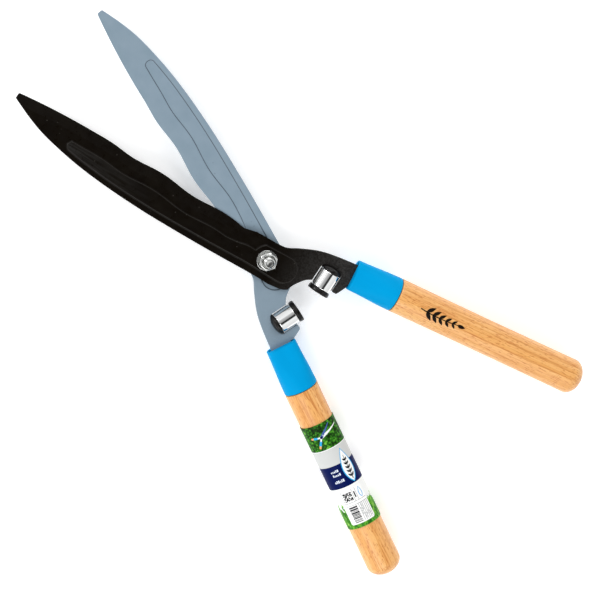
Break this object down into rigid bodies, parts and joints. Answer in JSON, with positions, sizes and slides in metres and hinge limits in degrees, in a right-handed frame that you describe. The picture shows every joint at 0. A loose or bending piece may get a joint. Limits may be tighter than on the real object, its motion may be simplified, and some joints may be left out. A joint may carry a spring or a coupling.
{
  "type": "hedge shears",
  "caption": "Hand hedge shears with two pivoting wavy blades, blue ferrules, turned wooden handles and rubber bumpers, standing open.",
  "frame": {"origin": "centre of the pivot bolt head's outer flat face, on the pivot axis", "axes": "+Z along the pivot axis from the bolt head to the nut; +Y along the centre line to the blade tips; +X to the front (black) half's handle side"},
  "size_m": [0.2278, 0.4792, 0.0339],
  "materials": {
    "front_blade_coating": "black baked coating, satin",
    "rear_blade_coating": "blue-grey baked coating, satin",
    "ferrule_plastic": "moulded polypropylene, semi-gloss",
    "handle_wood": "turned beech, clear varnish",
    "bumper_rubber": "moulded rubber, smooth",
    "bumper_chrome": "polished chrome plate",
    "pivot_steel": "bright zinc plate",
    "insert_nylon": "natural nylon",
    "label_paper": "gloss coated print",
    "sticker_paper": "satin white self-adhesive"
  },
  "bodies": {
    "rear_half": {"rear_blade": "rear_blade_coating", "rear_ferrule": "ferrule_plastic", "rear_handle": "handle_wood", "rear_bumper_pad": "bumper_rubber", "rear_bumper_sleeve": "bumper_chrome", "rear_bumper_seat": "bumper_rubber", "paper_label": "label_paper", "code_sticker": "sticker_paper", "pivot_bolt": "pivot_steel", "pivot_nut": "pivot_steel", "nut_insert": "insert_nylon", "front_washer": "pivot_steel", "rear_washer": "pivot_steel", "pivot_spacer": "pivot_steel"},
    "front_half": {"front_blade": "front_blade_coating", "front_ferrule": "ferrule_plastic", "front_handle": "handle_wood", "front_bumper_pad": "bumper_rubber", "front_bumper_sleeve": "bumper_chrome", "front_bumper_seat": "bumper_rubber"}
  },
  "joints": [
    {"name": "blade_pivot", "type": "hinge", "parent": "rear_half", "child": "front_half", "pos_m": [0, 0, 0.0109], "axis": [0, 0, 1], "range_deg": [-23.6, 80]}
  ]
}
